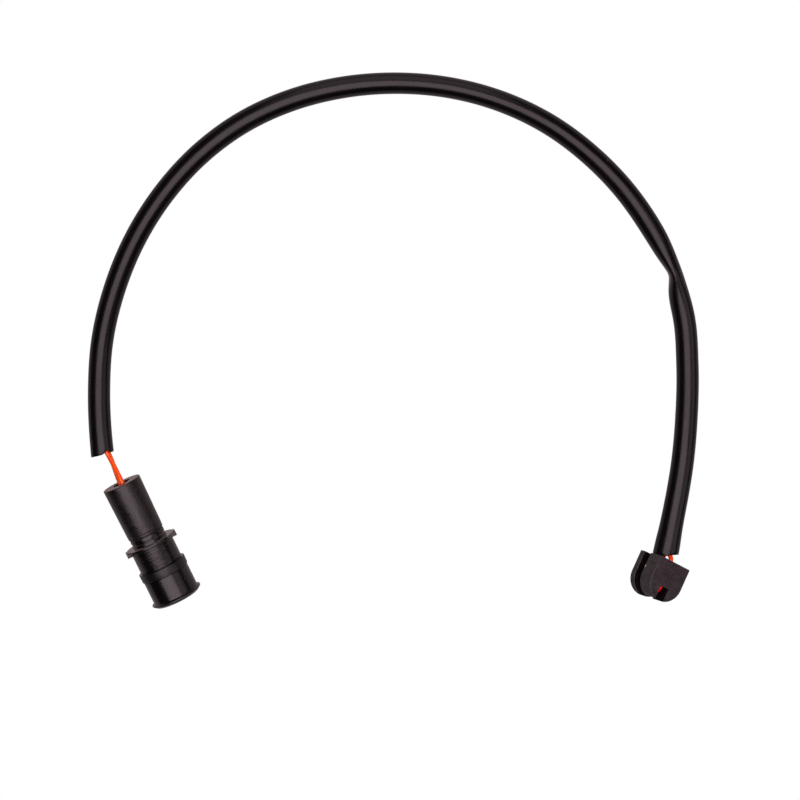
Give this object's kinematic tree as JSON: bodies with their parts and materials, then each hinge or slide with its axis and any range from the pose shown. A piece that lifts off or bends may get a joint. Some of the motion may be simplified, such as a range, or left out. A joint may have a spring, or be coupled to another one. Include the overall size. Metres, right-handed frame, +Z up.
{
  "type": "brake pad wear sensor",
  "caption": "Slotted sensor head on a looped wire in a black protective sleeve, with a round two-pin connector, lying in an open arch.",
  "frame": {"origin": "on the table, under the middle of the sensor head", "axes": "+Z up from the table; -Y the way the connector's mouth faces; +X to the right of that connector seen from above with its mouth towards the viewer"},
  "size_m": [0.1747, 0.1732, 0.0154],
  "materials": {
    "grey_plastic": "fine-grained dark grey moulding",
    "wire_orange": "smooth orange insulation",
    "sleeve_black": "satin black soft tube",
    "black_plastic": "satin black moulding",
    "rubber": "matte black rubber",
    "brass": "turned brass"
  },
  "bodies": {
    "root": {"sensor_head": "grey_plastic", "sensing_wire": "wire_orange", "protective_sleeve": "sleeve_black", "connector_rear_cap": "black_plastic", "connector_body": "black_plastic", "wire_grommet": "rubber", "contact_pin_left": "brass", "contact_pin_right": "brass"}
  },
  "joints": []
}
